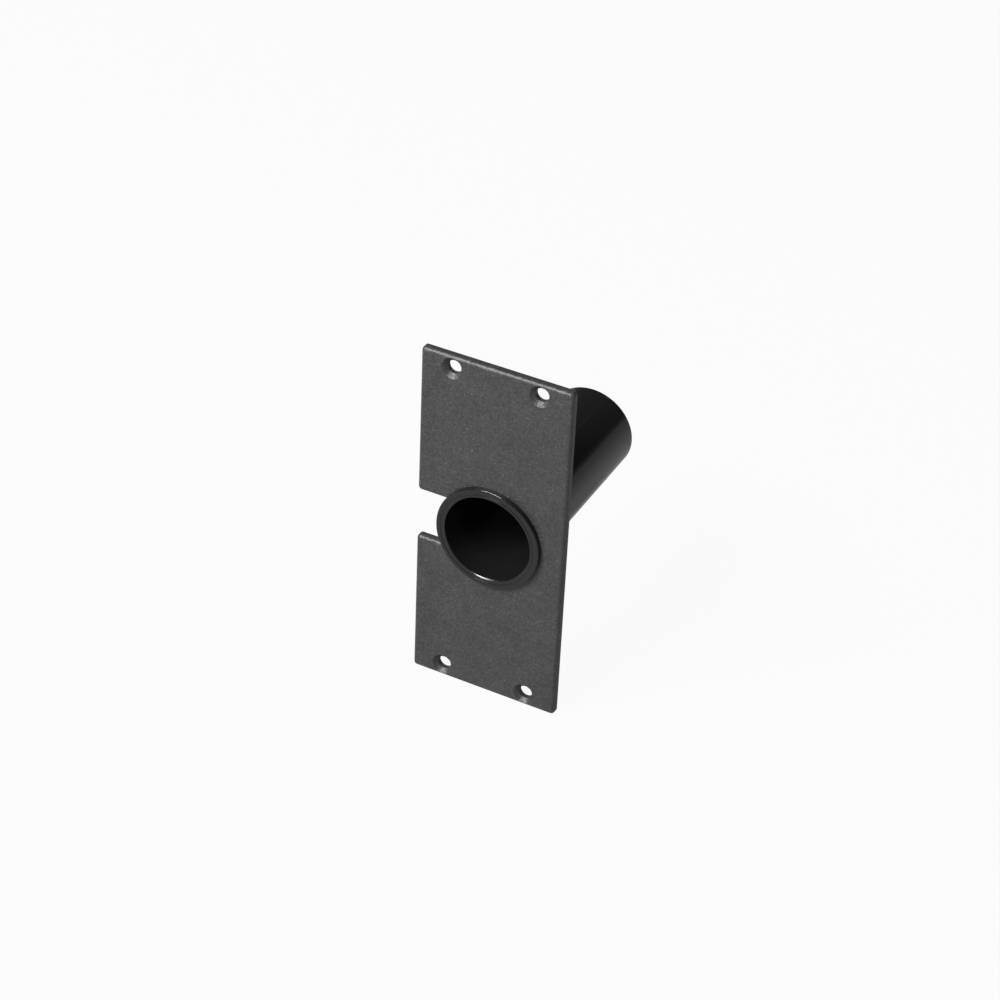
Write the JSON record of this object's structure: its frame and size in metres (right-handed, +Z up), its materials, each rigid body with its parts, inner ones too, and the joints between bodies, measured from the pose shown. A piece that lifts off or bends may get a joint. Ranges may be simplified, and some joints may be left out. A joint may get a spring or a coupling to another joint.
{
  "type": "rack cable entry panel",
  "caption": "Narrow rack panel with a round cable hole open to one edge, closed behind the cable by a split flanged sleeve that turns in the hole.",
  "frame": {"origin": "centre of the fixing-hole pattern, on the sleeve's axis, in the panel's back face, which lies on the rack's rails", "axes": "+Z up the panel's long side, +Y out of the back along the sleeve, -X towards the slot's open edge"},
  "size_m": [0.0352, 0.05, 0.084],
  "materials": {
    "powder_coat": "fine-textured dark grey powder coat",
    "sleeve_plastic": "satin black moulded plastic"
  },
  "bodies": {
    "panel": {"front_panel": "powder_coat"},
    "sleeve": {"cable_sleeve": "sleeve_plastic"}
  },
  "joints": [
    {"name": "sleeve_turn", "type": "hinge", "parent": "panel", "child": "sleeve", "pos_m": [0, 0, 0], "axis": [0, 1, 0], "continuous": true}
  ]
}
